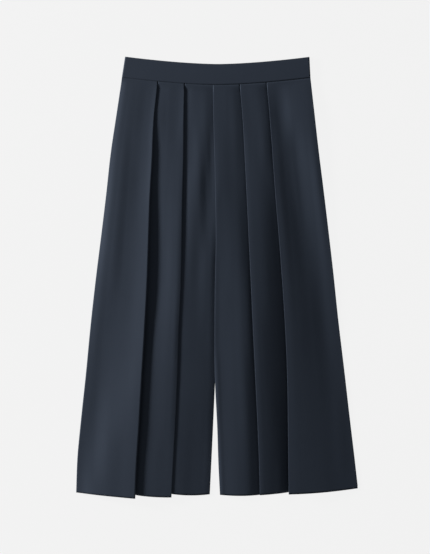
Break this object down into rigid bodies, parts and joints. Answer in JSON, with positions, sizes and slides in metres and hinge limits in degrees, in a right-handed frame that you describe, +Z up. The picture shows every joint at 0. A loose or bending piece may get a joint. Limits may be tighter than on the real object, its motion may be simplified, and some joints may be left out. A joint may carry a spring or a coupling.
{
  "type": "hakama trousers",
  "caption": "Divided hakama trousers in plain navy cloth with deep front knife pleats and a plain waistband, lying flat on their back.",
  "frame": {"origin": "on the surface that the garment lies on, at the middle of its outline", "axes": "+X across the front to the viewer's right, +Y from the hem to the waist, +Z up from the surface"},
  "size_m": [0.5264, 0.8242, 0.0156],
  "materials": {
    "cloth": "matt dark navy twill with a faint sheen",
    "waistband": "matt dark navy twill, doubled"
  },
  "bodies": {
    "root": {"waistband_front": "waistband", "waistband_back": "waistband", "front_panel_left": "cloth", "front_panel_right": "cloth", "back_panel_left": "cloth", "back_panel_right": "cloth"}
  },
  "joints": []
}
